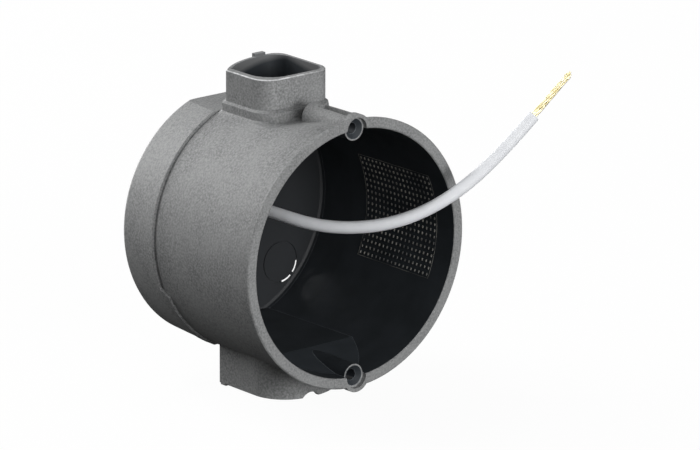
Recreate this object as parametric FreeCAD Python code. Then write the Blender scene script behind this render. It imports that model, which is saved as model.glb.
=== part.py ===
import FreeCAD, Part
import math
import os

# Round flush back box for one wiring device, moulded in one piece, with a short bonding lead.
# Millimetres, +Z up. The rim's front plane is y = 0 and faces -Y, the box runs back along +Y,
# and the origin is the rim's centre, which lies midway between the two device screws.

# Round body
CAVITY_R = 30.0
CAVITY_DRAFT = 0.45
DEPTH = 49.7
BACK_WALL = 1.3
BODY_WALL = 1.2
BODY_DRAFT = 0.35
CAVITY_CORNER_R = 0.9

# Rim
RIM_WIDTH = 2.6
RIM_THICK = 1.0
RIM_EDGE_R = 0.3
RIM_ROOT_R = 0.7
RIM_LIP_R = 0.25

# Band round the back, a little proud of the body
BAND_LENGTH = 12.1
BAND_PROUD = 0.45
BAND_DRAFT = 0.7
BAND_CORNER_R = 0.8
COVE_LENGTH = 1.7
COVE_DEPTH = 0.3

# Rib in front of the band, round the lower part of the body
RIB_LENGTH = 2.5
RIB_PROUD = 0.6
RIB_START_DEG = 22.2
RIB_END_DEG = 90.0
RIB_POINT = 2.0
SCOOP_R = 2.6
SCOOP_DEPTH = 1.2
SCOOP_WIDTH = 4.0
SCOOP_BEHIND = 0.6

# Flats at the top and the bottom, with a ramp up to the round body
FLAT_CUT = 2.6
FLAT_WALL = 1.7
RAMP_Y = 17.5
INNER_RAMP_Y = 17.2
RAMP_SLOPE = 0.228
RAMP_CLEAR = 0.3

# Device screw channels, on a vertical line through the centre
SCREW_SPACING = 60.0
DOME_R = 3.8
DOME_LENGTH = 2.0
RIDGE_R = 3.3
RIDGE_LENGTH = 15.75
RIDGE_TIP_R = 1.9
RIDGE_TIP_LENGTH = 1.4
TUBE_R = 2.8
TUBE_LENGTH = 15.0
COUNTERBORE_R = 2.9
COUNTERBORE_DEPTH = 1.2
CONE_R = 2.45
CONE_DEPTH = 1.0
SCREW_BORE_R = 1.35
SCREW_BORE_DEPTH = 13.5
CREST_SLOT_HALF = 1.15
CREST_SLOT_BORE_HALF = 0.8
CREST_SLOT_START = 2.4
CREST_SLOT_END = 13.0

# Bowed back wall that both spouts share: a circle whose centre is off the middle plane
BOW_X = 4.2
BOW_Y = 20.1

# Male spout on the top
SPOUT_LEFT = -10.35
SPOUT_RIGHT = 10.05
SPOUT_FRONT_Y = 21.4
SPOUT_BOW_R = 21.4
SPOUT_HEIGHT = 10.15
SPOUT_WALL = 0.95
SPOUT_LEFT_WALL = 1.7
SPOUT_FRONT_WALL = 1.25
SPOUT_EDGE = 0.2
SPOUT_LEFT_R = 4.8
SPOUT_RIGHT_R = 3.8
SPOUT_BACK_R = 3.4
SOCKET_LEFT_R = 6.0
SOCKET_RIGHT_R = 2.8
SOCKET_BACK_R = 4.5
PLINTH_GROW = 0.87
PLINTH_RIGHT_GROW = 0.2
PLINTH_FRONT_MORE = 0.5
PLINTH_EDGE = 2.3
PLINTH_HEIGHT = 2.85
SKIRT_GROW = 1.2
SKIRT_HEIGHT = 0.4
TAB_OFFSET = -1.85
TAB_WIDTH = 3.05
TAB_RISE = 0.75
TAB_PROUD = 0.3
TAB_LENGTH = 4.0

# Female collar on the bottom, which takes the male spout of the next box
COLLAR_LEFT = -12.1
COLLAR_RIGHT = 12.1
COLLAR_FRONT_Y = 13.85
COLLAR_BOW_R = 23.0
COLLAR_HEIGHT = 9.3
COLLAR_WALL = 1.1
COLLAR_LEFT_R = 9.0
COLLAR_RIGHT_R = 13.0
COLLAR_BACK_R = 3.0
NOTCH_X = -2.5
NOTCH_R = 2.83
NOTCH_DEPTH = 1.2
FOOT_HEIGHT = 0.4
FOOT_FRONT_Y = 34.0
FOOT_LENGTH = 1.9
MERGE = 1.0

# Knock-outs in the back wall
KNOCKOUT_INSET = 7.09
KNOCKOUT_R = 5.1
GROOVE_WIDTH = 0.3
GROOVE_DEPTH = 0.25
SLIT_WIDTH = 0.55
SLIT_START_DEG = 6.0
SLIT_SPAN_DEG = 34.0
SLIT_BRIDGE_DEG = 10.0
SLIT_WEB = 0.25
POCKET_INSET = 0.6
POCKET_WIDTH = 1.9
POCKET_MORE_DEG = 3.0
KNOCKOUT_STEP_DEG = 15.0

# Rivet and ring terminal on the inside of the back wall
FIX_X = -4.8
FIX_Z = 11.6
RIVET_R = 1.6
RIVET_FIT = 0.05
RIVET_HEAD_R = 2.9
RIVET_HEAD = 1.1
RIVET_TAIL_R = 3.0
RIVET_TAIL = 0.8
TERMINAL_R = 4.0
TERMINAL_THICK = 0.8
TONGUE_WIDTH = 3.4
BARREL_R = 1.9
BARREL_DROP = 6.4
BARREL_LENGTH = 6.6

# Lead: a stiff stranded conductor in a round sleeve
INSULATION_R = 1.5
INSULATION_SIDES = 18
CONDUCTOR_R = 0.8
BARE_LENGTH = 13.8
LEAD_FIRST_RUN = 15.0

# Worked out from the sizes above
body_r = CAVITY_R + BODY_WALL
band_y = DEPTH - BAND_LENGTH
band_r = body_r - BODY_DRAFT + BAND_PROUD
inner_back_y = DEPTH - BACK_WALL
flat_z = body_r - FLAT_CUT
inner_flat_z = flat_z - FLAT_WALL
screw_z = SCREW_SPACING / 2
barrel_mouth_y = inner_back_y - TERMINAL_THICK - BARREL_LENGTH
barrel_z = FIX_Z - BARREL_DROP
root = 0.4 * FLAT_WALL
knockout_place = (CAVITY_R - KNOCKOUT_INSET) * math.sqrt(0.5)
tab_x = BOW_X + TAB_OFFSET
scoop_y = FOOT_FRONT_Y + FOOT_LENGTH + SCOOP_BEHIND
far = 4 * DEPTH

Y_AXIS = FreeCAD.Vector(0, 1, 0)
Z_AXIS = FreeCAD.Vector(0, 0, 1)

# Route of the lead, from the terminal's barrel through the cavity and out past the rim
lead_route = [
    (FIX_X, barrel_mouth_y, barrel_z),
    (FIX_X, barrel_mouth_y - LEAD_FIRST_RUN, barrel_z),
    (0.2, 11.3, 3.5),
    (9.8, -0.5, 5.2),
    (20.4, -7.7, 10.6),
    (31.9, -11.65, 19.15),
    (42.9, -13.0, 28.7),
]


def vector(x, y, z=0.0):
    return FreeCAD.Vector(x, y, z)


def cylinder_y(radius, start_y, end_y, x, z):
    """Cylinder along Y between two places."""
    return Part.makeCylinder(radius, end_y - start_y, vector(x, start_y, z), Y_AXIS)


def rounded(corners):
    """Points of an outline of (x, y, radius, steps) corners, each round one cut in straight steps."""
    points = []
    for index, (x, y, radius, steps) in enumerate(corners):
        here = vector(x, y)
        if radius == 0:
            points.append(here)
            continue
        before = (vector(*corners[index - 1][:2]) - here).normalize()
        after = (vector(*corners[(index + 1) % len(corners)][:2]) - here).normalize()
        half = before.getAngle(after) / 2
        centre = here + (before + after).normalize() * (radius / math.sin(half))
        start = here + before * (radius / math.tan(half)) - centre
        end = here + after * (radius / math.tan(half)) - centre
        turn = math.atan2(start.x * end.y - start.y * end.x, start.dot(end))
        for step in range(steps + 1):
            spoke = FreeCAD.Rotation(Z_AXIS, math.degrees(turn * step / steps)).multVec(start)
            points.append(centre + spoke)
    return points


def turned(corners):
    """Solid of revolution about Y from a profile of (radius, y, corner radius, steps)."""
    points = rounded(corners)
    face = Part.Face(Part.makePolygon(points + points[:1]))
    return face.revolve(vector(0, 0, 0), Y_AXIS, 360)


def wedge(points, half_x):
    """Prism along X from an outline of (y, z) points."""
    wire = Part.makePolygon([vector(-half_x, y, z) for y, z in points + points[:1]])
    return Part.Face(wire).extrude(vector(2 * half_x, 0, 0))


def both_ends(shape):
    """The shape and its mirror image below the middle plane."""
    return [shape, shape.mirror(vector(0, 0, 0), Z_AXIS)]


def ramp_cutter(level, break_y, reach_z, end_y):
    """Everything above a flat at a level and the ramp in front of it."""
    front_y = break_y - (reach_z - level) / RAMP_SLOPE
    return wedge([(front_y, reach_z), (break_y, level), (end_y, level), (end_y, far), (front_y, far)],
                 CAVITY_R)


def outer_body():
    """Solid outside form of the round box with its rim, the band and the shallow cove before it."""
    rim_r = CAVITY_R + RIM_WIDTH
    return turned([
        (0, 0, 0, 0),
        (rim_r, 0, RIM_EDGE_R, 1),
        (rim_r, RIM_THICK, RIM_EDGE_R, 1),
        (body_r, RIM_THICK, RIM_ROOT_R, 2),
        (body_r - BODY_DRAFT, band_y - COVE_LENGTH, 0, 0),
        (body_r - BODY_DRAFT - COVE_DEPTH, band_y, 0, 0),
        (band_r, band_y, 0, 0),
        (band_r - BAND_DRAFT, DEPTH, BAND_CORNER_R, 2),
        (0, DEPTH, 0, 0),
    ])


def cavity():
    """Space inside the box, between the two inner ramps."""
    space = turned([
        (0, -RIM_THICK, 0, 0),
        (CAVITY_R + RIM_WIDTH, -RIM_THICK, 0, 0),
        (CAVITY_R + RIM_WIDTH, 0, 0, 0),
        (CAVITY_R, 0, RIM_LIP_R, 1),
        (CAVITY_R - CAVITY_DRAFT, inner_back_y, CAVITY_CORNER_R, 2),
        (0, inner_back_y, 0, 0),
    ])
    ramp = ramp_cutter(inner_flat_z, INNER_RAMP_Y, CAVITY_R, DEPTH)
    for cutter in both_ends(ramp):
        space = space.cut(cutter)
    return space


def rib():
    """Rib against the band's front edge, from a pointed tip on the side down to the bottom flat."""
    front_y = band_y - RIB_LENGTH
    rib_r = body_r - BODY_DRAFT + RIB_PROUD
    face = Part.Face(Part.makePolygon([
        vector(CAVITY_R, front_y), vector(rib_r, front_y), vector(rib_r, band_y),
        vector(CAVITY_R, band_y), vector(CAVITY_R, front_y),
    ]))
    sector = face.revolve(vector(0, 0, 0), Y_AXIS, RIB_END_DEG - RIB_START_DEG)
    point = Part.Face(Part.makePolygon([
        vector(0, front_y, 0), vector(0, band_y, 0), vector(0, front_y, -RIB_POINT), vector(0, front_y, 0),
    ])).extrude(vector(far, 0, 0))
    sector = sector.cut(point)
    sector.rotate(vector(0, 0, 0), Y_AXIS, RIB_START_DEG)
    return [sector, sector.mirror(vector(0, 0, 0), vector(1, 0, 0))]


def scoop():
    """Hollow under each lower side edge, beside the collar's back corner."""
    inner_x = -COLLAR_LEFT
    scoop_z = -flat_z + SCOOP_DEPTH - SCOOP_R
    cutter = Part.makeCylinder(SCOOP_R, SCOOP_WIDTH, vector(-inner_x - SCOOP_WIDTH, scoop_y, scoop_z),
                               vector(1, 0, 0))
    return [cutter, cutter.mirror(vector(0, 0, 0), vector(1, 0, 0))]


def screw_ridge():
    """Outside of one screw channel: the dome on the rim and the ridge behind it with its tapered tip."""
    dome = cylinder_y(DOME_R, 0, DOME_LENGTH, 0, screw_z)
    ridge = cylinder_y(RIDGE_R, RIM_THICK / 2, RIM_THICK / 2 + RIDGE_LENGTH, 0, screw_z)
    tip = Part.makeCone(RIDGE_R, RIDGE_TIP_R, RIDGE_TIP_LENGTH,
                        vector(0, RIM_THICK / 2 + RIDGE_LENGTH, screw_z), Y_AXIS)
    return dome.fuse([ridge, tip])


def screw_bore():
    """Counterbore, cone, blind bore and the slot that opens the bore along the ridge's crest."""
    cone_y = COUNTERBORE_DEPTH + CONE_DEPTH
    mouth = cylinder_y(COUNTERBORE_R, -RIM_THICK, COUNTERBORE_DEPTH, 0, screw_z)
    cone = Part.makeCone(CONE_R, SCREW_BORE_R, CONE_DEPTH, vector(0, COUNTERBORE_DEPTH, screw_z), Y_AXIS)
    bore = cylinder_y(SCREW_BORE_R, cone_y, SCREW_BORE_DEPTH, 0, screw_z)
    crest = screw_z + RIDGE_R
    slot = Part.Face(Part.makePolygon([
        vector(-CREST_SLOT_BORE_HALF, CREST_SLOT_START, screw_z),
        vector(CREST_SLOT_BORE_HALF, CREST_SLOT_START, screw_z),
        vector(CREST_SLOT_HALF, CREST_SLOT_START, crest),
        vector(-CREST_SLOT_HALF, CREST_SLOT_START, crest),
        vector(-CREST_SLOT_BORE_HALF, CREST_SLOT_START, screw_z),
    ])).extrude(vector(0, CREST_SLOT_END - CREST_SLOT_START, 0))
    return mouth.fuse([cone, bore, slot])


def spout_outline(left, right, front_y, bow_r, left_r, right_r, back_r, grow, z):
    """Plan of a spout: two rounded front corners, a bowed back and one sharp back corner."""
    left = left - grow
    right = right + grow
    front = front_y - grow
    bow = bow_r + grow
    left_r = left_r + grow
    right_r = right_r + grow
    back_r = back_r + grow
    bow_centre = vector(BOW_X, BOW_Y, z)
    corner_y = BOW_Y + math.sqrt((bow - back_r) ** 2 - (right - back_r - BOW_X) ** 2)
    corner = vector(right - back_r, corner_y, z)
    outward = (corner - bow_centre).normalize()
    bow_start = bow_centre + outward * bow
    bow_end = vector(left, BOW_Y + math.sqrt(bow ** 2 - (left - BOW_X) ** 2), z)
    bow_middle = bow_centre + (bow_start + bow_end - bow_centre * 2).normalize() * bow
    diagonal = math.sqrt(0.5)
    points = [
        vector(left, front + left_r, z),
        vector(left + left_r * (1 - diagonal), front + left_r * (1 - diagonal), z),
        vector(left + left_r, front, z),
        vector(right - right_r, front, z),
        vector(right - right_r * (1 - diagonal), front + right_r * (1 - diagonal), z),
        vector(right, front + right_r, z),
        vector(right, corner_y, z),
        corner + (outward + vector(1, 0)).normalize() * back_r,
    ]
    return Part.Wire([
        Part.LineSegment(bow_end, points[0]).toShape(),
        Part.Arc(points[0], points[1], points[2]).toShape(),
        Part.LineSegment(points[2], points[3]).toShape(),
        Part.Arc(points[3], points[4], points[5]).toShape(),
        Part.LineSegment(points[5], points[6]).toShape(),
        Part.Arc(points[6], points[7], bow_start).toShape(),
        Part.Arc(bow_start, bow_middle, bow_end).toShape(),
    ])


def spout_plan(grow, z):
    return spout_outline(SPOUT_LEFT, SPOUT_RIGHT, SPOUT_FRONT_Y, SPOUT_BOW_R,
                         SPOUT_LEFT_R, SPOUT_RIGHT_R, SPOUT_BACK_R, grow, z)


def plinth_plan(grow, z, right_less=0.0):
    return spout_outline(SPOUT_LEFT, SPOUT_RIGHT - right_less, SPOUT_FRONT_Y - PLINTH_FRONT_MORE, SPOUT_BOW_R,
                         SPOUT_LEFT_R, SPOUT_RIGHT_R, SPOUT_BACK_R, grow, z)


def socket_plan(z):
    return spout_outline(SPOUT_LEFT + SPOUT_LEFT_WALL, SPOUT_RIGHT - SPOUT_WALL,
                         SPOUT_FRONT_Y + SPOUT_FRONT_WALL, SPOUT_BOW_R - SPOUT_WALL,
                         SOCKET_LEFT_R, SOCKET_RIGHT_R, SOCKET_BACK_R, 0, z)


def collar_plan(grow, z):
    return spout_outline(COLLAR_LEFT, COLLAR_RIGHT, COLLAR_FRONT_Y, COLLAR_BOW_R,
                         COLLAR_LEFT_R, COLLAR_RIGHT_R, COLLAR_BACK_R, grow, z)


def upright(wire, height):
    return Part.Face(wire).extrude(vector(0, 0, height))


def spout():
    """Male spout: an upright wall on a plinth with a sloping top and a skirt over the top flat."""
    root_z = flat_z - root
    top_z = flat_z + SPOUT_HEIGHT
    edge_z = flat_z + PLINTH_EDGE
    right_less = PLINTH_GROW - PLINTH_RIGHT_GROW
    tube = upright(spout_plan(0, root_z), top_z - SPOUT_EDGE - root_z)
    lip = Part.makeLoft([spout_plan(0, top_z - SPOUT_EDGE), spout_plan(-SPOUT_EDGE, top_z)], True, True)
    plinth = Part.makeLoft([plinth_plan(PLINTH_GROW, root_z), plinth_plan(PLINTH_GROW, edge_z, right_less)],
                           True, True)
    slope = Part.makeLoft([plinth_plan(PLINTH_GROW, edge_z, right_less),
                           plinth_plan(-PLINTH_FRONT_MORE, flat_z + PLINTH_HEIGHT, right_less)], True, True)
    skirt = Part.makeLoft([plinth_plan(PLINTH_GROW + SKIRT_GROW, root_z),
                           plinth_plan(PLINTH_GROW - SKIRT_GROW, flat_z + 2 * SKIRT_HEIGHT + root)],
                          True, True)
    back_y = BOW_Y + SPOUT_BOW_R
    tab = Part.makeBox(TAB_WIDTH, SPOUT_WALL + TAB_PROUD, TAB_LENGTH + TAB_RISE,
                       vector(tab_x, back_y - SPOUT_WALL, top_z - TAB_LENGTH))
    socket = upright(socket_plan(flat_z), SPOUT_HEIGHT + MERGE)
    return tube.fuse([lip, plinth, slope, skirt, tab]).cut(socket)


def collar():
    """Female collar with a notch in its front edge and two small feet at the back."""
    bottom_z = -flat_z - COLLAR_HEIGHT
    root_z = -flat_z + root
    wall = upright(collar_plan(0, bottom_z - FOOT_HEIGHT), root_z - bottom_z + FOOT_HEIGHT)
    ahead = Part.makeBox(2 * far, far, FOOT_HEIGHT, vector(-far, FOOT_FRONT_Y - far, bottom_z - FOOT_HEIGHT))
    behind = Part.makeBox(2 * far, far, FOOT_HEIGHT,
                          vector(-far, FOOT_FRONT_Y + FOOT_LENGTH, bottom_z - FOOT_HEIGHT))
    notch = cylinder_y(NOTCH_R, COLLAR_FRONT_Y - COLLAR_WALL, COLLAR_FRONT_Y + 2 * COLLAR_WALL,
                       NOTCH_X, bottom_z + NOTCH_DEPTH - NOTCH_R)
    mouth = upright(collar_plan(-COLLAR_WALL, bottom_z - MERGE), COLLAR_HEIGHT + MERGE)
    return wall.cut([ahead, behind, notch, mouth])


def curved_slot(x_sign, z_sign, radii, degrees, depths):
    """Slot along an arc round a knock-out, in angles from its outer side, between two depths."""
    first, last = degrees
    steps = math.ceil((last - first) / KNOCKOUT_STEP_DEG)
    angles = [math.radians(first + (last - first) * step / steps) for step in range(steps + 1)]
    corners = []
    for radius, sweep in zip(radii, (angles, angles[::-1])):
        for angle in sweep:
            corners.append(vector(x_sign * (knockout_place + radius * math.cos(angle)), depths[0],
                                  z_sign * (knockout_place + radius * math.sin(angle))))
    face = Part.Face(Part.makePolygon(corners + corners[:1]))
    return face.extrude(vector(0, depths[1] - depths[0], 0))


def knockouts():
    """Four knock-outs: a shallow groove inside, and on the outer side a pocket from the back
    with two slits through the thin web that it leaves."""
    groove_r = (KNOCKOUT_R - GROOVE_WIDTH / 2, KNOCKOUT_R + GROOVE_WIDTH / 2)
    slit_r = (KNOCKOUT_R - SLIT_WIDTH / 2, KNOCKOUT_R + SLIT_WIDTH / 2)
    pocket_r = (KNOCKOUT_R - POCKET_INSET, KNOCKOUT_R - POCKET_INSET + POCKET_WIDTH)
    first_end = SLIT_START_DEG + SLIT_SPAN_DEG
    second_start = first_end + SLIT_BRIDGE_DEG
    second_end = second_start + SLIT_SPAN_DEG
    inside_y = inner_back_y - MERGE
    slots = [
        (groove_r, (90, 360), (inside_y, inner_back_y + GROOVE_DEPTH)),
        (slit_r, (SLIT_START_DEG, first_end), (inside_y, DEPTH)),
        (slit_r, (second_start, second_end), (inside_y, DEPTH)),
        (pocket_r, (SLIT_START_DEG - POCKET_MORE_DEG, second_end + POCKET_MORE_DEG),
         (inner_back_y + SLIT_WEB, DEPTH + MERGE)),
    ]
    return [curved_slot(x_sign, z_sign, *slot) for x_sign in (-1, 1) for z_sign in (-1, 1) for slot in slots]


def back_box():
    """The whole moulding."""
    body = outer_body()
    body = body.fuse(rib())
    body = body.cut(both_ends(ramp_cutter(flat_z, RAMP_Y, body_r + RAMP_CLEAR, DEPTH + MERGE)))
    body = body.cut(scoop())
    body = body.fuse(both_ends(screw_ridge()))
    body = body.cut(cavity())
    tube = cylinder_y(TUBE_R, COUNTERBORE_DEPTH, COUNTERBORE_DEPTH + TUBE_LENGTH, 0, screw_z)
    body = body.fuse(both_ends(tube) + [spout(), collar()])
    body = body.cut(both_ends(screw_bore()) + knockouts())
    body = body.cut(cylinder_y(RIVET_R + RIVET_FIT, inner_back_y - MERGE, DEPTH + MERGE, FIX_X, FIX_Z))
    return body.removeSplitter()


def ring_terminal():
    """Flat ring on the back wall, a tongue below it and a crimped barrel that points forwards."""
    face_y = inner_back_y - TERMINAL_THICK
    ring = cylinder_y(TERMINAL_R, face_y, inner_back_y, FIX_X, FIX_Z)
    tongue = Part.makeBox(TONGUE_WIDTH, TERMINAL_THICK, BARREL_DROP,
                          vector(FIX_X - TONGUE_WIDTH / 2, face_y, barrel_z))
    barrel = cylinder_y(BARREL_R, barrel_mouth_y, inner_back_y, FIX_X, barrel_z)
    hole = cylinder_y(RIVET_R + RIVET_FIT, face_y - MERGE, DEPTH, FIX_X, FIX_Z)
    return ring.fuse([tongue, barrel]).cut(hole).removeSplitter()


def rivet():
    """Solid rivet through the terminal and the back wall, with a formed tail outside."""
    head_y = inner_back_y - TERMINAL_THICK
    shank = cylinder_y(RIVET_R, head_y - RIVET_HEAD, DEPTH + RIVET_TAIL, FIX_X, FIX_Z)
    head = cylinder_y(RIVET_HEAD_R, head_y - RIVET_HEAD, head_y, FIX_X, FIX_Z)
    tail = cylinder_y(RIVET_TAIL_R, DEPTH, DEPTH + RIVET_TAIL, FIX_X, FIX_Z)
    rim = [edge for edge in head.Edges if abs(edge.BoundBox.YMax - (head_y - RIVET_HEAD)) < 0.001]
    head = head.makeChamfer(RIVET_HEAD / 2, rim)
    return shank.fuse([head, tail]).removeSplitter()


def lead_path(points):
    """Straight runs joined by tangent arcs, each as large as its two runs allow."""
    stops = [vector(*point) for point in points]
    edges = []
    last = stops[0]
    length = 0.0
    for before, here, after in zip(stops, stops[1:], stops[2:]):
        back = before - here
        on = after - here
        reach = 0.45 * min(back.Length, on.Length)
        back.normalize()
        on.normalize()
        half = back.getAngle(on) / 2
        radius = reach * math.tan(half)
        start = here + back * reach
        end = here + on * reach
        middle = here + (back + on).normalize() * (radius / math.sin(half) - radius)
        print("lead bend radius", round(radius, 1))
        edges.append(Part.LineSegment(last, start).toShape())
        edges.append(Part.Arc(start, middle, end).toShape())
        last = end
    edges.append(Part.LineSegment(last, stops[-1]).toShape())
    return Part.Wire(edges)


def lead_insulation():
    """Sleeve of the lead, whose first run lies along Y. Its many-sided section keeps the facets few."""
    path = lead_path(lead_route)
    start = vector(*lead_route[0])
    spoke = vector(INSULATION_R, 0)
    turns = [FreeCAD.Rotation(Y_AXIS, 360 * side / INSULATION_SIDES) for side in range(INSULATION_SIDES + 1)]
    section = Part.Face(Part.makePolygon([start + turn.multVec(spoke) for turn in turns]))
    tube = path.makePipe(section)
    print("lead length", round(path.Length, 2), "volume", round(tube.Volume, 1),
          "section times length", round(section.Area * path.Length, 1))
    return tube


def lead_conductor():
    end = vector(*lead_route[-1])
    heading = end - vector(*lead_route[-2])
    return Part.makeCylinder(CONDUCTOR_R, BARE_LENGTH, end, heading)


nodes = {
    "back_box": back_box,
    "ring_terminal": ring_terminal,
    "rivet": rivet,
    "lead_insulation": lead_insulation,
    "lead_conductor": lead_conductor,
}

os.makedirs("parts", exist_ok=True)
for name, build in nodes.items():
    shape = build()
    shape.exportStep("parts/" + name + ".step")
    print(name, "valid", shape.isValid(), "solids", len(shape.Solids), "volume", round(shape.Volume, 1))
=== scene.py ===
import bpy
import math
from mathutils import Matrix, Vector


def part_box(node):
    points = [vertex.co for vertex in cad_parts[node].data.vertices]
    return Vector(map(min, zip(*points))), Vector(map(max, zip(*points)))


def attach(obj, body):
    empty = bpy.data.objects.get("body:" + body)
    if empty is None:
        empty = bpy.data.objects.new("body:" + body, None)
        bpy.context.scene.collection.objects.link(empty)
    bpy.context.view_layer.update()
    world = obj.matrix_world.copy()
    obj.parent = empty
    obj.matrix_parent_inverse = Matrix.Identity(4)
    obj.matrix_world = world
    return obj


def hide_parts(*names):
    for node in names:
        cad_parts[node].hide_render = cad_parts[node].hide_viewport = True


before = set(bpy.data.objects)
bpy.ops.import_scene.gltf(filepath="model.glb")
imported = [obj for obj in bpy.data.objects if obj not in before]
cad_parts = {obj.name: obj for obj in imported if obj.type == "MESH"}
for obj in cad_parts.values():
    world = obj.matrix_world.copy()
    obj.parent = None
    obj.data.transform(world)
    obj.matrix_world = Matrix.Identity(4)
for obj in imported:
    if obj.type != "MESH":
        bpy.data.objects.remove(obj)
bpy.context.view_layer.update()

bl_info = {
    "name": "Flush Back Box",
    "version": (1, 0, 0),
    "blender": (4, 5, 0),
    "location": "View3D > Sidebar > Flush Box",
    "description": "Finishes and fine details of a coated round flush back box with a bonding lead",
    "category": "Add Mesh",
}

MM = 0.001
BODY = "root"
IMAGE_WIDTH = 700
SENSOR_WIDTH = 36.0

# The object's box before anything is added
BOX_LOW, BOX_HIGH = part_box("back_box")

# Places on the moulding that the coating and the fine details follow, from the sizes in the part's source
SCREW_Z = 30.0 * MM
TUBE_R = 2.8 * MM
COUNTERBORE_DEPTH = 1.2 * MM
CONE_END_Y = 2.2 * MM
BORE_R = 1.35 * MM
LIP_Y = 0.3 * MM
CAVITY_MOUTH_R = 30.0 * MM
CAVITY_BACK_R = 29.55 * MM
INNER_BACK_Y = 48.4 * MM
FLAT_MIDDLE_Z = 27.75 * MM
RAMP_START_Y = 17.35 * MM
RAMP_SLOPE = 0.228
SPOUT_MOUTH_Z = 38.75 * MM
SPOUT_FLOOR_Z = 28.6 * MM
COLLAR_TOP_Z = -28.6 * MM

# Places that are set here alone: the mould's witness line, the middle of the spout and the collar, and the
# back right-hand corner of the spout's mouth
WITNESS_Y = 37.2 * MM
SPOUT_CENTRE = Vector((0.0, 30.0 * MM, 0.0))
SPOUT_CORNER = (8.9 * MM, 37.0 * MM, 0.0)

# What tells a bare face from a coated one: slacks about a surface, how level a face is, the outer skin of
# the back wall, and where the insides of the spout and the collar start and how wide their floors are
NEAR = 0.1 * MM
LOOSE = 0.2 * MM
LEVEL = 0.9
BACK_SKIN = 0.6 * MM
SPOUT_START_Y = 21 * MM
COLLAR_START_Y = 13 * MM
SPOUT_FLOOR_R = 8.5 * MM
COLLAR_FLOOR_R = 9 * MM

# Sockets of a colour mix
FACTOR, TONE_A, TONE_B, MIXED = 0, 6, 7, 2

# Where the lamps stand, each as its azimuth and elevation in degrees
LAMPS = {"rear": (180, 8), "front": (0, 8), "top": (150, 62), "corner": (150, 25), "fill": (20, 22)}

# Route of the lead in metres, the same points as in the part's source
LEAD_ROUTE = [
    (-0.0048, 0.0410, 0.0052),
    (-0.0048, 0.0260, 0.0052),
    (0.0002, 0.0113, 0.0035),
    (0.0098, -0.0005, 0.0052),
    (0.0204, -0.0077, 0.0106),
    (0.0319, -0.01165, 0.01915),
    (0.0429, -0.0130, 0.0287),
]


def linear(hex_colour):
    """sRGB hex text to a linear RGBA colour."""
    parts = [int(hex_colour[place:place + 2], 16) / 255 for place in (1, 3, 5)]
    return [part / 12.92 if part <= 0.04045 else ((part + 0.055) / 1.055) ** 2.4 for part in parts] + [1.0]


def direction(azimuth, elevation):
    """Unit vector from the box, where azimuth 0 is its open front and a quarter turn is its left."""
    flat = math.cos(elevation)
    return Vector((-math.sin(azimuth) * flat, -math.cos(azimuth) * flat, math.sin(elevation)))


def add_node(tree, kind, values=None, links=None, **settings):
    """A node with its settings, the constants on its sockets and the sockets linked to it."""
    node = tree.nodes.new(kind)
    for name, value in settings.items():
        setattr(node, name, value)
    for name, value in (values or {}).items():
        node.inputs[name].default_value = value
    for name, socket in (links or {}).items():
        tree.links.new(socket, node.inputs[name])
    return node


def new_material(name):
    """An empty material, its node tree and the place of a point in the object's own coordinates."""
    material = bpy.data.materials.new(name)
    material.use_nodes = True
    tree = material.node_tree
    tree.nodes.clear()
    place = add_node(tree, "ShaderNodeTexCoord").outputs["Object"]
    return material, tree, place


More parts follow.
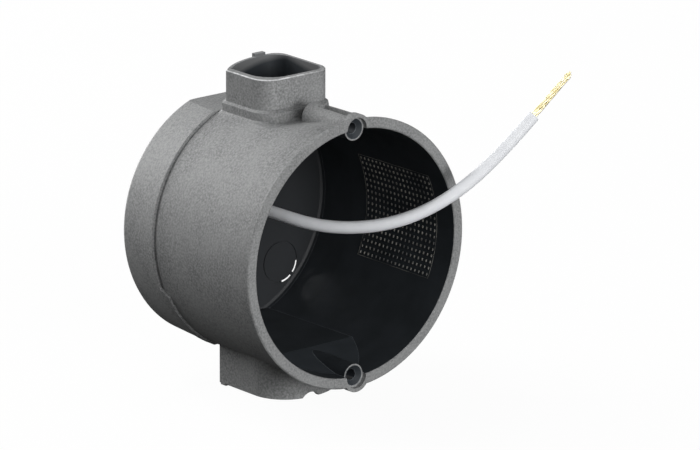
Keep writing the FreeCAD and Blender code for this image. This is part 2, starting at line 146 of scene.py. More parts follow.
def sprayed_coating(finish):
    """Conductive paint, sprayed on and dried matt."""
    material, tree, place = new_material("sprayed_conductive_paint")
    # Fine grit breaks the grey into a soft mottle, and slow clouds show where the spray passed twice
    grit = add_node(tree, "ShaderNodeTexNoise", {"Scale": 1 / (finish.grit * MM), "Detail": 2.0},
                    {"Vector": place}).outputs["Fac"]
    clouds = add_node(tree, "ShaderNodeTexNoise", {"Scale": 1 / (finish.clouds * MM), "Detail": 3.0},
                      {"Vector": place}).outputs["Fac"]
    speckle = add_node(tree, "ShaderNodeMapRange", {"From Min": 0.3, "From Max": 0.7}, {"Value": grit})
    mottle = add_node(tree, "ShaderNodeMix",
                      {TONE_A: linear(finish.coat_dark), TONE_B: linear(finish.coat_light)},
                      {FACTOR: speckle.outputs[0]}, data_type="RGBA")
    passes = add_node(tree, "ShaderNodeMapRange", {"From Min": 0.35, "From Max": 0.65, "To Max": 0.4},
                      {"Value": clouds})
    coat = add_node(tree, "ShaderNodeMix", {TONE_B: linear(finish.coat_light)},
                    {FACTOR: passes.outputs[0], TONE_A: mottle.outputs[MIXED]}, data_type="RGBA")
    # Painted highlight: the spout's mouth edge is painted pale, strongest at the near left and broken into
    # short flakes
    axes = add_node(tree, "ShaderNodeSeparateXYZ", links={"Vector": place})
    edge = add_node(tree, "ShaderNodeMapRange",
                    {"From Min": SPOUT_MOUTH_Z - 0.32 * MM, "From Max": SPOUT_MOUTH_Z - 0.18 * MM},
                    {"Value": axes.outputs["Z"]})
    facing = add_node(tree, "ShaderNodeSeparateXYZ",
                      links={"Vector": add_node(tree, "ShaderNodeNewGeometry").outputs["True Normal"]})
    slanted = add_node(tree, "ShaderNodeMapRange", {"From Min": 0.95, "From Max": 0.8},
                       {"Value": facing.outputs["Z"]})
    lip = add_node(tree, "ShaderNodeMath", links={0: edge.outputs[0], 1: slanted.outputs[0]},
                   operation="MULTIPLY")
    ahead = add_node(tree, "ShaderNodeMapRange",
                     {"From Min": 8 * MM, "From Max": -3 * MM, "To Min": 0.2, "To Max": 1.0},
                     {"Value": axes.outputs["X"]})
    chips = add_node(tree, "ShaderNodeTexNoise", {"Scale": 1 / (1.4 * MM), "Detail": 2.0}, {"Vector": place})
    flakes = add_node(tree, "ShaderNodeMapRange",
                      {"From Min": 0.36, "From Max": 0.56, "To Min": 0.35, "To Max": 1.0},
                      {"Value": chips.outputs["Fac"]})
    near_edge = add_node(tree, "ShaderNodeMath", links={0: lip.outputs[0], 1: ahead.outputs[0]},
                         operation="MULTIPLY")
    mouth_highlight_mask = add_node(tree, "ShaderNodeMath", links={0: near_edge.outputs[0], 1: flakes.outputs[0]},
                      operation="MULTIPLY")
    colour = add_node(tree, "ShaderNodeMix", {TONE_B: linear(finish.mouth_highlight_tone)},
                      {FACTOR: mouth_highlight_mask.outputs[0], TONE_A: coat.outputs[MIXED]}, data_type="RGBA")
    # Paint rounds each edge a little, and its grit lifts the surface by hundredths of a millimetre
    soft_edges = add_node(tree, "ShaderNodeBevel", {"Radius": 0.2 * MM}, samples=6)
    bump = add_node(tree, "ShaderNodeBump", {"Strength": 0.35, "Distance": 0.05 * MM},
                    {"Height": grit, "Normal": soft_edges.outputs["Normal"]})
    shader = add_node(tree, "ShaderNodeBsdfPrincipled", {"Roughness": 0.62, "IOR": 1.5},
                      {"Base Color": colour.outputs[MIXED], "Normal": bump.outputs["Normal"]})
    add_node(tree, "ShaderNodeOutputMaterial", links={"Surface": shader.outputs[0]})
    return material


def bare_plastic(finish):
    """Polypropylene, injection moulded and left bare."""
    material, tree, place = new_material("bare_moulded_polypropylene")
    # Blue-black with slow clouds, slightly waxy, so that smooth walls shine where they face a lamp
    clouds = add_node(tree, "ShaderNodeTexNoise", {"Scale": 1 / (finish.clouds * MM), "Detail": 3.0},
                      {"Vector": place}).outputs["Fac"]
    tones = add_node(tree, "ShaderNodeMapRange", {"From Min": 0.3, "From Max": 0.7}, {"Value": clouds})
    plain = add_node(tree, "ShaderNodeMix",
                     {TONE_A: linear(finish.plastic_dark), TONE_B: linear(finish.plastic_light)},
                     {FACTOR: tones.outputs[0]}, data_type="RGBA")
    # Painted shade: behind the mould's witness line the deeper wall is a shade darker, and the flat back at
    # the cavity's bottom is nearly black
    axes = add_node(tree, "ShaderNodeSeparateXYZ", links={"Vector": place})
    behind = add_node(tree, "ShaderNodeMapRange",
                      {"From Min": WITNESS_Y - 0.4 * MM, "From Max": WITNESS_Y + 0.4 * MM, "To Max": 0.2},
                      {"Value": axes.outputs["Y"]})
    before_back = add_node(tree, "ShaderNodeMapRange",
                           {"From Min": INNER_BACK_Y - 0.3 * MM, "From Max": INNER_BACK_Y - 0.6 * MM},
                           {"Value": axes.outputs["Y"]})
    at_back = add_node(tree, "ShaderNodeMapRange",
                       {"From Min": INNER_BACK_Y - 1.2 * MM, "From Max": INNER_BACK_Y - 0.9 * MM,
                        "To Max": 0.9}, {"Value": axes.outputs["Y"]})
    shaded = add_node(tree, "ShaderNodeMath", links={0: behind.outputs[0], 1: at_back.outputs[0]},
                      operation="MAXIMUM")
    wall = add_node(tree, "ShaderNodeMix", {TONE_B: linear(finish.plastic_painted_shade)},
                    {FACTOR: shaded.outputs[0], TONE_A: plain.outputs[MIXED]}, data_type="RGBA")
    # The coating's grey reaches down the spout's inner walls from the mouth: deep on the left, hardly any in
    # the back right-hand corner
    level = add_node(tree, "ShaderNodeCombineXYZ", links={"X": axes.outputs["X"], "Y": axes.outputs["Y"]})
    from_corner = add_node(tree, "ShaderNodeVectorMath", {1: SPOUT_CORNER}, {0: level.outputs[0]},
                           operation="DISTANCE")
    grey_depth = add_node(tree, "ShaderNodeMapRange",
                     {"From Max": 14 * MM, "To Min": 0.1 * MM, "To Max": 2.8 * MM},
                     {"Value": from_corner.outputs["Value"]})
    reach = add_node(tree, "ShaderNodeMath", links={0: axes.outputs["Z"], 1: grey_depth.outputs[0]},
                     operation="ADD")
    painted = add_node(tree, "ShaderNodeMapRange",
                       {"From Min": SPOUT_MOUTH_Z - 0.9 * MM, "From Max": SPOUT_MOUTH_Z + 0.5 * MM},
                       {"Value": reach.outputs[0]})
    colour = add_node(tree, "ShaderNodeMix", {TONE_B: linear(finish.coat_dark)},
                      {FACTOR: painted.outputs[0], TONE_A: wall.outputs[MIXED]}, data_type="RGBA")
    # Painted highlight: along the flats, the ramps and the screw tubes, a fine pale line is painted on each
    # crease
    soft_edges = add_node(tree, "ShaderNodeBevel", {"Radius": 0.22 * MM}, samples=8)
    surface = add_node(tree, "ShaderNodeNewGeometry").outputs["Normal"]
    alike = add_node(tree, "ShaderNodeVectorMath", links={0: soft_edges.outputs[0], 1: surface},
                     operation="DOT_PRODUCT")
    crease_highlight = add_node(tree, "ShaderNodeMapRange", {"From Min": 0.998, "From Max": 0.985, "To Max": 0.5},
                      {"Value": alike.outputs["Value"]})
    line = add_node(tree, "ShaderNodeMath", links={0: crease_highlight.outputs[0], 1: before_back.outputs[0]},
                    operation="MULTIPLY")
    colour = add_node(tree, "ShaderNodeMix", {TONE_B: linear(finish.plastic_crease_highlight)},
                      {FACTOR: line.outputs[0], TONE_A: colour.outputs[MIXED]}, data_type="RGBA")
    scuffs = add_node(tree, "ShaderNodeTexNoise", {"Scale": 1 / (1.6 * MM), "Detail": 2.0}, {"Vector": place})
    bump = add_node(tree, "ShaderNodeBump", {"Strength": 0.12, "Distance": 0.03 * MM},
                    {"Height": scuffs.outputs["Fac"]})
    shader = add_node(tree, "ShaderNodeBsdfPrincipled", {"Roughness": 0.62, "IOR": 1.49},
                      {"Base Color": colour.outputs[MIXED], "Normal": bump.outputs["Normal"]})
    add_node(tree, "ShaderNodeOutputMaterial", links={"Surface": shader.outputs[0]})
    return material


def pip_highlight_material(finish):
    """The same polypropylene on the grid's pips, painted pale as a highlight."""
    material, tree, place = new_material("rubbed_polypropylene")
    # Painted highlight: the raised pips are painted pale for the light their faces catch, in patches of a few
    # pips, and stay dark between the patches
    pip_patch_noise = add_node(tree, "ShaderNodeTexNoise", {"Scale": 1 / (7 * MM), "Detail": 2.0}, {"Vector": place})
    patches = add_node(tree, "ShaderNodeMapRange",
                       {"From Min": 0.38, "From Max": 0.6, "To Min": 0.15, "To Max": 1.0},
                       {"Value": pip_patch_noise.outputs["Fac"]})
    colour = add_node(tree, "ShaderNodeMix",
                      {TONE_A: linear(finish.pips_dark), TONE_B: linear(finish.pips_light)},
                      {FACTOR: patches.outputs[0]}, data_type="RGBA")
    shader = add_node(tree, "ShaderNodeBsdfPrincipled", {"Roughness": 0.6, "IOR": 1.49},
                      {"Base Color": colour.outputs[MIXED]})
    add_node(tree, "ShaderNodeOutputMaterial", links={"Surface": shader.outputs[0]})
    return material


def lead_sleeve(finish):
    """Soft PVC, extruded over the strands."""
    material, tree, place = new_material("white_extruded_pvc")
    # White with a breath of blue, a soft sheen and a faint unevenness from the strands beneath
    drag = add_node(tree, "ShaderNodeTexNoise", {"Scale": 1 / (2.5 * MM), "Detail": 2.0}, {"Vector": place})
    tones = add_node(tree, "ShaderNodeMapRange", {"From Min": 0.3, "From Max": 0.7},
                     {"Value": drag.outputs["Fac"]})
    colour = add_node(tree, "ShaderNodeMix",
                      {TONE_A: linear(finish.sleeve_dark), TONE_B: linear(finish.sleeve_light)},
                      {FACTOR: tones.outputs[0]}, data_type="RGBA")
    bump = add_node(tree, "ShaderNodeBump", {"Strength": 0.08, "Distance": 0.05 * MM},
                    {"Height": drag.outputs["Fac"]})
    shader = add_node(tree, "ShaderNodeBsdfPrincipled", {"Roughness": 0.62, "IOR": 1.53},
                      {"Base Color": colour.outputs[MIXED], "Normal": bump.outputs["Normal"]})
    add_node(tree, "ShaderNodeOutputMaterial", links={"Surface": shader.outputs[0]})
    return material


def drawn_metal(name, dark, light, roughness, patch):
    """A plain metal with slight tarnish in patches of some millimetres, duller where it is darker."""
    material, tree, place = new_material(name)
    tarnish = add_node(tree, "ShaderNodeTexNoise", {"Scale": 1 / (patch * MM), "Detail": 3.0},
                       {"Vector": place}).outputs["Fac"]
    tones = add_node(tree, "ShaderNodeMapRange", {"From Min": 0.35, "From Max": 0.65}, {"Value": tarnish})
    colour = add_node(tree, "ShaderNodeMix", {TONE_A: linear(dark), TONE_B: linear(light)},
                      {FACTOR: tones.outputs[0]}, data_type="RGBA")
    rough = add_node(tree, "ShaderNodeMapRange",
                     {"From Min": 0.3, "From Max": 0.7, "To Min": roughness * 1.2,
                      "To Max": roughness * 0.85}, {"Value": tarnish})
    shader = add_node(tree, "ShaderNodeBsdfPrincipled", {"Metallic": 1.0},
                      {"Base Color": colour.outputs[MIXED], "Roughness": rough.outputs[0]})
    add_node(tree, "ShaderNodeOutputMaterial", links={"Surface": shader.outputs[0]})
    return material


def cavity_radius(y):
    """Radius of the drafted cavity at a depth behind the rim."""
    return CAVITY_MOUTH_R - (CAVITY_MOUTH_R - CAVITY_BACK_R) * y / INNER_BACK_Y


def is_bare(centre, normal):
    """Whether a face of the moulding is bare: in the cavity, the bores and the insides of both spouts."""
    x, y, z = centre
    beyond = abs(z) - SCREW_Z
    from_screw = math.hypot(x, beyond)
    to_screw = normal.x * x + math.copysign(normal.z, normal.z * z) * beyond < 0
    upright = abs(normal.z) < LEVEL
    towards = Vector((SPOUT_CENTRE.x - x, SPOUT_CENTRE.y - y, 0))
    if from_screw < TUBE_R + NEAR and y < CONE_END_Y:
        return y > COUNTERBORE_DEPTH + NEAR / 2
    if y < RAMP_START_Y and ((from_screw < BORE_R + NEAR and to_screw)
                             or (from_screw < TUBE_R + NEAR and beyond < 0)):
        return True
    if z > SPOUT_FLOOR_Z - LOOSE and y > SPOUT_START_Y:
        floor = towards.length < SPOUT_FLOOR_R and abs(normal.z) > LEVEL and z < SPOUT_FLOOR_Z + LOOSE
        return floor or (upright and normal.dot(towards) > 0)
    if z < COLLAR_TOP_Z + LOOSE and y > COLLAR_START_Y:
        floor = towards.length < COLLAR_FLOOR_R and normal.z < -LEVEL
        return floor or (upright and normal.dot(towards) > 0)
    limit = FLAT_MIDDLE_Z + RAMP_SLOPE * max(0, RAMP_START_Y - y)
    inside = math.hypot(x, z) < CAVITY_MOUTH_R + LOOSE and abs(z) < limit
    return inside and LIP_Y < y < BOX_HIGH[1] - BACK_SKIN


class FlushBoxFinish(bpy.types.PropertyGroup):
    coat_light: bpy.props.StringProperty(
        name="Coating, light", description="Lighter grey of the sprayed coating", default="#9b9c9c")
    coat_dark: bpy.props.StringProperty(
        name="Coating, dark", description="Darker grey of the sprayed coating", default="#6c6d6e")
    # The pale tone is a painted highlight on the spout's mouth edge
    mouth_highlight_tone: bpy.props.StringProperty(
        name="Worn edge", description="Pale tone of the rubbed edge of the spout", default="#e6e7e8")
    plastic_light: bpy.props.StringProperty(
        name="Plastic, light", description="Lighter tone of the bare plastic", default="#353a3f")
    plastic_dark: bpy.props.StringProperty(
        name="Plastic, dark", description="Darker tone of the bare plastic", default="#292e32")
    # The pale tone is a painted highlight along the moulded creases
    plastic_crease_highlight: bpy.props.StringProperty(
        name="Plastic, line", description="Tone of the fine lines along the moulded creases",
        default="#8a9096")
    # Painted shade deep in the cavity: the flat back and the wall behind the witness line
    plastic_painted_shade: bpy.props.StringProperty(
        name="Plastic, deep", description="Tone of the flat back, and in part of the wall before it",
        default="#14171b")
    # The light tone is a painted highlight on the pips
    pips_light: bpy.props.StringProperty(
        name="Grid, light", description="Tone of the grid's rubbed pips", default="#8e8c86")
    pips_dark: bpy.props.StringProperty(
        name="Grid, dark", description="Tone of the grid's pips that nothing rubs", default="#3e4042")
    sleeve_light: bpy.props.StringProperty(
        name="Sleeve, light", description="Lighter white of the lead's sleeve", default="#f5f7fa")
    sleeve_dark: bpy.props.StringProperty(
        name="Sleeve, dark", description="Darker white of the lead's sleeve", default="#eef0f4")
    grit: bpy.props.FloatProperty(
        name="Grit", description="Size of the coating's grit in millimetres", default=0.5, min=0.05)
    clouds: bpy.props.FloatProperty(
        name="Clouds", description="Size of the slow tone changes in millimetres", default=8.0, min=1.0)


class FlushBoxGrid(bpy.types.PropertyGroup):
    columns: bpy.props.IntProperty(
        name="Columns", description="Pips along the box's depth", default=18, min=2)
    rows: bpy.props.IntProperty(
        name="Rows", description="Pips round the wall", default=17, min=2)
    front: bpy.props.FloatProperty(
        name="Front", description="Where the grid starts behind the rim", default=6.9 * MM, unit="LENGTH")
    back: bpy.props.FloatProperty(
        name="Back", description="Where the grid ends behind the rim", default=31.5 * MM, unit="LENGTH")
    half_angle: bpy.props.FloatProperty(
        name="Half angle", description="How far the grid reaches round the wall each way",
        default=math.radians(24), subtype="ANGLE")
    pip_length: bpy.props.FloatProperty(
        name="Pip length", description="Size of a pip along the depth", default=0.4 * MM, unit="LENGTH")
    pip_width: bpy.props.FloatProperty(
        name="Pip width", description="Size of a pip round the wall", default=0.66 * MM, unit="LENGTH")
    pip_height: bpy.props.FloatProperty(
        name="Pip height", description="How far a pip stands off the wall", default=0.25 * MM, unit="LENGTH")
    border: bpy.props.FloatProperty(
        name="Border", description="Width of the fine line round the grid", default=0.13 * MM, unit="LENGTH")


class FlushBoxLead(bpy.types.PropertyGroup):
    diameter: bpy.props.FloatProperty(
        name="Sleeve", description="Outside diameter of the sleeve", default=3.0 * MM, unit="LENGTH")
    wire: bpy.props.FloatProperty(
        name="Conductor", description="Diameter over the strands", default=1.6 * MM, unit="LENGTH")
    bare: bpy.props.FloatProperty(
        name="Bare end", description="Length of conductor past the sleeve", default=13.8 * MM, unit="LENGTH")
    strands: bpy.props.IntProperty(
        name="Strands", description="Strands in the outer layer", default=7, min=5)
    lay: bpy.props.FloatProperty(
        name="Lay", description="Length in which a strand goes once round", default=38 * MM, unit="LENGTH")


class FlushBoxStage(bpy.types.PropertyGroup):
    azimuth: bpy.props.FloatProperty(
        name="Azimuth", description="Side from which the camera looks",
        default=math.radians(39.7373), subtype="ANGLE")
    elevation: bpy.props.FloatProperty(
        name="Elevation", description="Height angle of the camera",
        default=math.radians(16.3534), subtype="ANGLE")
    roll: bpy.props.FloatProperty(
        name="Roll", description="Turn of the camera about its own axis",
        default=math.radians(0.1522), subtype="ANGLE")
    distance: bpy.props.FloatProperty(
        name="Distance", description="From the camera to the rim's centre plane", default=1.5, unit="LENGTH")
    aim_x: bpy.props.FloatProperty(
        name="Aim across", description="Point at the picture's middle, to the right of the rim's centre",
        default=-1.6177 * MM, unit="LENGTH")
    aim_z: bpy.props.FloatProperty(
        name="Aim up", description="Point at the picture's middle, above the rim's centre",
        default=6.7621 * MM, unit="LENGTH")
    focal_px: bpy.props.FloatProperty(
        name="Focal length", description="Focal length as a count of the picture's pixels", default=6432.04)
    floor: bpy.props.StringProperty(
        name="Floor", description="Colour of the floor", default="#f4f4f4")
    lamp_reach: bpy.props.FloatProperty(
        name="Lamp distance", description="From each lamp to the rim's centre", default=2.2, unit="LENGTH")
    lamp_size: bpy.props.FloatProperty(
        name="Lamp size", description="Diameter of each round lamp", default=1.0, unit="LENGTH")
    rear_power: bpy.props.FloatProperty(
        name="Rear lamp", description="Power of the low lamp behind the box", default=43.0, unit="POWER")
    front_power: bpy.props.FloatProperty(
        name="Front lamp", description="Power of the low lamp before the opening", default=32.0,
        unit="POWER")
    top_power: bpy.props.FloatProperty(
        name="Top lamp", description="Power of the lamp high above the back", default=16.0, unit="POWER")
    corner_power: bpy.props.FloatProperty(
        name="Corner lamp", description="Power of the lamp at the back left", default=20.0, unit="POWER")
    fill_power: bpy.props.FloatProperty(
        name="Fill lamp", description="Power of the lamp at the front left", default=9.0, unit="POWER")
    sky: bpy.props.FloatProperty(
        name="Sky", description="Strength of the even light from all round", default=0.18)


class FLUSHBOX_OT_finish_shell(bpy.types.Operator):
    """Paint the outside of the moulding and leave its inside bare"""
    bl_idname = "flushbox.finish_shell"
    bl_label = "Finish shell"

    def execute(self, context):
        finish = context.scene.flush_box_finish
        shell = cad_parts["back_box"]
        shell.data.materials.clear()
        shell.data.materials.append(sprayed_coating(finish))
        shell.data.materials.append(bare_plastic(finish))
        for face in shell.data.polygons:
            face.material_index = int(is_bare(face.center, face.normal))
        return {"FINISHED"}


class FLUSHBOX_OT_finish_fixing(bpy.types.Operator):
    """Give the terminal and its rivet their metals"""
    bl_idname = "flushbox.finish_fixing"
    bl_label = "Finish fixing"

    def execute(self, context):
        finishes = {
            "ring_terminal": drawn_metal("tinned_copper", "#a9a79f", "#c9c8c2", roughness=0.32, patch=3.0),
            "rivet": drawn_metal("aluminium_alloy", "#a2a3a4", "#bdbebf", roughness=0.38, patch=2.0),
        }
        for name, finish in finishes.items():
            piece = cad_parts[name]
            piece.data.materials.clear()
            piece.data.materials.append(finish)
        return {"FINISHED"}


class FLUSHBOX_OT_add_grid(bpy.types.Operator):
    """Add the field of raised pips on the right-hand inner wall, with the fine line round it"""
    bl_idname = "flushbox.add_grid"
    bl_label = "Add grid"

    def execute(self, context):
        grid = context.scene.flush_box_grid
        pitch = (grid.back - grid.front - grid.pip_length) / (grid.columns - 1)
        wall_r = cavity_radius((grid.front + grid.back) / 2)
        arc = 2 * grid.half_angle * wall_r
        row_pitch = (arc - grid.pip_width) / (grid.rows - 1)
        margin = 0.5 * MM
        top = arc / 2 + margin
        front = grid.front - margin
        back = grid.back + margin
        pip = (grid.pip_height, grid.pip_length, grid.pip_width)
        rail = (grid.border / 2, back - front, grid.border)
        post = (grid.border / 2, grid.border, 2 * top / grid.rows)
        pieces = [
            self.add_field("cable_grid", pip, (grid.front + grid.pip_length / 2, (grid.pip_width - arc) / 2),
                           (grid.columns, pitch), (grid.rows, row_pitch)),
            self.add_field("rails", rail, ((front + back) / 2, -top), (1, 0), (2, 2 * top)),
            self.add_field("posts", post, (front, post[2] / 2 - top), (2, back - front),
                           (grid.rows, post[2])),
        ]
        bpy.ops.object.select_all(action="DESELECT")
        for piece in pieces:
            piece.select_set(True)
        context.view_layer.objects.active = pieces[0]
        bpy.ops.object.join()
        field = context.object
        for vertex in field.data.vertices:
            height, y, around = vertex.co
            radius = cavity_radius(y) - height
            angle = around / wall_r
            vertex.co = (radius * math.cos(angle), y, radius * math.sin(angle))
        bpy.ops.object.mode_set(mode="EDIT")
        bpy.ops.mesh.select_all(action="SELECT")
        bpy.ops.mesh.normals_make_consistent(inside=False)
        bpy.ops.object.mode_set(mode="OBJECT")
        field.data.materials.append(pip_highlight_material(context.scene.flush_box_finish))
        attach(field, BODY)
        return {"FINISHED"}

    def add_field(self, name, size, first, columns, rows):
        """A bevelled bar of (height, length, width), repeated along the depth and round the wall."""
        rounding = 0.4
        bpy.ops.object.select_all(action="DESELECT")
        bpy.ops.mesh.primitive_cube_add(size=1, location=(0, *first))
        bar = bpy.context.object
        bar.name = name
        bar.scale = (size[0] * 2, size[1], size[2])
        bpy.ops.object.transform_apply(location=True, rotation=False, scale=True)
        bevel = bar.modifiers.new("Rounding", "BEVEL")
        bevel.width = min(size) * rounding
        bevel.segments = 1
        bpy.ops.object.modifier_apply(modifier=bevel.name)
        for axis, (count, step) in ((1, columns), (2, rows)):
            array = bar.modifiers.new("Repeat", "ARRAY")
            array.count = count
            array.use_relative_offset = False
            array.use_constant_offset = True
            array.constant_offset_displace = [step if place == axis else 0 for place in range(3)]
            bpy.ops.object.modifier_apply(modifier=array.name)
        return bar


class FLUSHBOX_OT_add_lead(bpy.types.Operator):
    """Add the lead's sleeve along its route and the twisted strands of its bare end"""
    bl_idname = "flushbox.add_lead"
    bl_label = "Add lead"

    def execute(self, context):
        lead = context.scene.flush_box_lead
        curve = bpy.data.curves.new("lead_sleeve", "CURVE")
        curve.dimensions = "3D"
        spline = curve.splines.new("NURBS")
        spline.points.add(len(LEAD_ROUTE) - 1)
        for point, place in zip(spline.points, LEAD_ROUTE):
            point.co = (*place, 1)
        spline.order_u = 3
        spline.use_endpoint_u = True
        spline.resolution_u = 24
        length = self.length_of(curve)
        curve.bevel_depth = lead.diameter / 2
        curve.bevel_resolution = 11
        curve.use_fill_caps = True
        curve.materials.append(lead_sleeve(context.scene.flush_box_finish))
        sleeve = bpy.data.objects.new("lead_sleeve", curve)
        context.scene.collection.objects.link(sleeve)
        strands = self.add_strands(context, lead)
        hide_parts("lead_insulation")
        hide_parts("lead_conductor")
        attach(sleeve, BODY)
        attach(strands, BODY)
        return {"FINISHED"}

    def length_of(self, curve):
        """Length of the curve's own line, measured before it gets its thickness."""
        holder = bpy.data.objects.new("line", curve)
        mesh = bpy.data.meshes.new_from_object(holder)
        places = [vertex.co.copy() for vertex in mesh.vertices]
        bpy.data.objects.remove(holder)
        bpy.data.meshes.remove(mesh)
        return sum((after - before).length for before, after in zip(places, places[1:]))

    def add_strands(self, context, lead):
        """A core and a layer of helical strands, as one mesh along the lead's last run."""
        end = Vector(LEAD_ROUTE[-1])
        heading = (end - Vector(LEAD_ROUTE[-2])).normalized()
        turn = heading.to_track_quat("Z", "Y").to_matrix().to_4x4()
        share = math.sin(math.pi / lead.strands)
        strand_r = lead.wire / 2 * share / (1 + share)
        ring_r = lead.wire / 2 - strand_r
        tuck = 1.0 * MM
        recess = 0.3 * MM
        uneven = 0.03
        steps = 48
        curve = bpy.data.curves.new("strand", "CURVE")
        curve.dimensions = "3D"
        curve.bevel_depth = strand_r
        curve.bevel_resolution = 3
        curve.use_fill_caps = True
        line = curve.splines.new("POLY")
        line.points.add(steps)
        for step, point in enumerate(line.points):
            along = -tuck + (lead.bare + tuck) * step / steps
            angle = 2 * math.pi * along / lead.lay
            point.co = (ring_r * math.cos(angle), ring_r * math.sin(angle), along, 1)
        strand = bpy.data.objects.new("strand", curve)
        context.scene.collection.objects.link(strand)
        bpy.ops.object.select_all(action="DESELECT")
        strand.select_set(True)
        context.view_layer.objects.active = strand
        bpy.ops.object.convert(target="MESH")
        copies = [context.object]
        for index in range(1, lead.strands):
            copy = copies[0].copy()
            copy.data = copies[0].data.copy()
            context.scene.collection.objects.link(copy)
            # The cut ends lie up to three small steps apart
            short = 1 - uneven * ((index * 5) % 4)
            for vertex in copy.data.vertices:
                if vertex.co.z > 0:
                    vertex.co.z *= short
            copy.data.transform(Matrix.Rotation(2 * math.pi * index / lead.strands, 4, "Z"))
            copies.append(copy)
        core_length = lead.bare + tuck - recess
        bpy.ops.object.select_all(action="DESELECT")
        bpy.ops.mesh.primitive_cylinder_add(vertices=24, radius=ring_r, depth=core_length,
                                            location=(0, 0, core_length / 2 - tuck))
        core = context.object
        bpy.ops.object.transform_apply(location=True, rotation=True, scale=True)
        for copy in copies:
            copy.select_set(True)
        bpy.ops.object.join()
        core.name = "lead_strands"
        core.data.transform(Matrix.Translation(end) @ turn)
        bpy.ops.object.shade_smooth_by_angle(angle=math.radians(40))
        core.data.materials.clear()
        core.data.materials.append(
            drawn_metal("bright_copper_alloy", "#e2d6a4", "#fbf3d8", roughness=0.5, patch=1.5))
        return core


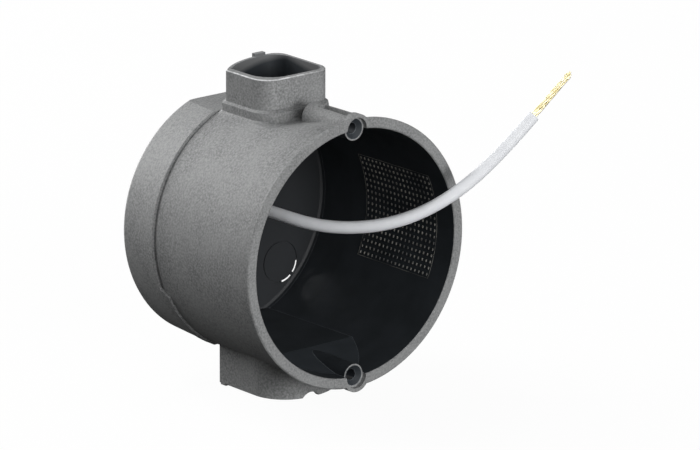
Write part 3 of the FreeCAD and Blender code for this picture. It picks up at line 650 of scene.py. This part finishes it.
class FLUSHBOX_OT_add_stage(bpy.types.Operator):
    """Add the floor, the lamps, the sky and the camera"""
    bl_idname = "flushbox.add_stage"
    bl_label = "Add stage"

    def execute(self, context):
        stage = context.scene.flush_box_stage
        self.add_floor(stage)
        self.add_sky(context, stage)
        for name, (azimuth, elevation) in LAMPS.items():
            self.add_lamp(context, name, azimuth, elevation, stage)
        self.add_camera(context, stage)
        context.scene.view_settings.view_transform = "Standard"
        return {"FINISHED"}

    def add_floor(self, stage):
        """A wide pale floor that looks white to the camera, keeps the shadow and throws little light back."""
        bpy.ops.object.select_all(action="DESELECT")
        bpy.ops.mesh.primitive_plane_add(size=12, location=(0, 0, BOX_LOW[2]))
        floor = bpy.context.object
        floor.name = "floor"
        bpy.ops.object.transform_apply(location=True, rotation=False, scale=False)
        glow_share = 0.96
        bounce = "#484848"
        material, tree, _ = new_material("pale_floor")
        path = add_node(tree, "ShaderNodeLightPath").outputs
        matt = add_node(tree, "ShaderNodeBsdfDiffuse", {"Color": linear(stage.floor)})
        dim = add_node(tree, "ShaderNodeBsdfDiffuse", {"Color": linear(bounce)})
        glow = add_node(tree, "ShaderNodeEmission", {"Color": (1, 1, 1, 1), "Strength": 1.0})
        shown = add_node(tree, "ShaderNodeMixShader", {FACTOR: glow_share},
                         {1: matt.outputs[0], 2: glow.outputs[0]})
        whole = add_node(tree, "ShaderNodeMixShader",
                         links={0: path["Is Camera Ray"], 1: dim.outputs[0], 2: shown.outputs[0]})
        add_node(tree, "ShaderNodeOutputMaterial", links={"Surface": whole.outputs[0]})
        floor.data.materials.append(material)

    def add_sky(self, context, stage):
        """Even light from all round, white where the camera sees it."""
        world = bpy.data.worlds.new("studio")
        context.scene.world = world
        world.use_nodes = True
        tree = world.node_tree
        tree.nodes.clear()
        path = add_node(tree, "ShaderNodeLightPath").outputs
        strength = add_node(tree, "ShaderNodeMapRange", {"To Min": stage.sky, "To Max": 1.0},
                            {"Value": path["Is Camera Ray"]})
        light = add_node(tree, "ShaderNodeBackground", {"Color": (1, 1, 1, 1)},
                         {"Strength": strength.outputs["Result"]})
        add_node(tree, "ShaderNodeOutputWorld", links={"Surface": light.outputs[0]})

    def add_lamp(self, context, name, azimuth, elevation, stage):
        """A round lamp that faces the rim's centre."""
        lamp = bpy.data.lights.new(name, "AREA")
        lamp.shape = "DISK"
        lamp.size = stage.lamp_size
        lamp.energy = getattr(stage, name + "_power")
        holder = bpy.data.objects.new(name, lamp)
        holder.location = direction(math.radians(azimuth), math.radians(elevation)) * stage.lamp_reach
        holder.rotation_euler = (-holder.location).to_track_quat("-Z", "Y").to_euler()
        context.scene.collection.objects.link(holder)

    def add_camera(self, context, stage):
        """The photograph's view, from the camera that was fitted to it."""
        azimuth, elevation, roll = stage.azimuth, stage.elevation, stage.roll
        back = direction(azimuth, elevation)
        level = Vector((math.cos(azimuth), -math.sin(azimuth), 0))
        upright = back.cross(level)
        across = level * math.cos(roll) + upright * math.sin(roll)
        up = upright * math.cos(roll) - level * math.sin(roll)
        place = across * stage.aim_x + up * stage.aim_z + back * stage.distance
        view = bpy.data.cameras.new("camera")
        view.sensor_width = SENSOR_WIDTH
        view.lens = stage.focal_px / IMAGE_WIDTH * SENSOR_WIDTH
        view.clip_end = 50
        holder = bpy.data.objects.new("camera", view)
        holder.matrix_world = Matrix((
            (across.x, up.x, back.x, place.x),
            (across.y, up.y, back.y, place.y),
            (across.z, up.z, back.z, place.z),
            (0, 0, 0, 1),
        ))
        context.scene.collection.objects.link(holder)
        context.scene.camera = holder


class FLUSHBOX_PT_panel(bpy.types.Panel):
    """Lists the steps that dress the box"""
    bl_idname = "FLUSHBOX_PT_panel"
    bl_label = "Flush Box"
    bl_space_type = "VIEW_3D"
    bl_region_type = "UI"
    bl_category = "Flush Box"

    def draw(self, context):
        for step in STEPS:
            self.layout.operator(step.bl_idname)


STEPS = (
    FLUSHBOX_OT_add_stage,
    FLUSHBOX_OT_add_lead,
    FLUSHBOX_OT_finish_shell,
    FLUSHBOX_OT_finish_fixing,
    FLUSHBOX_OT_add_grid,
)
GROUPS = {
    "flush_box_finish": FlushBoxFinish,
    "flush_box_grid": FlushBoxGrid,
    "flush_box_lead": FlushBoxLead,
    "flush_box_stage": FlushBoxStage,
}


def register():
    for group in (*GROUPS.values(), *STEPS, FLUSHBOX_PT_panel):
        bpy.utils.register_class(group)
    for name, group in GROUPS.items():
        setattr(bpy.types.Scene, name, bpy.props.PointerProperty(type=group))


def unregister():
    for name in GROUPS:
        delattr(bpy.types.Scene, name)
    for group in reversed((*GROUPS.values(), *STEPS, FLUSHBOX_PT_panel)):
        bpy.utils.unregister_class(group)


def main():
    register()
    bpy.ops.flushbox.add_stage()
    bpy.ops.flushbox.add_lead()
    bpy.ops.flushbox.finish_shell()
    bpy.ops.flushbox.finish_fixing()
    bpy.ops.flushbox.add_grid()


if __name__ == "__main__":
    main()
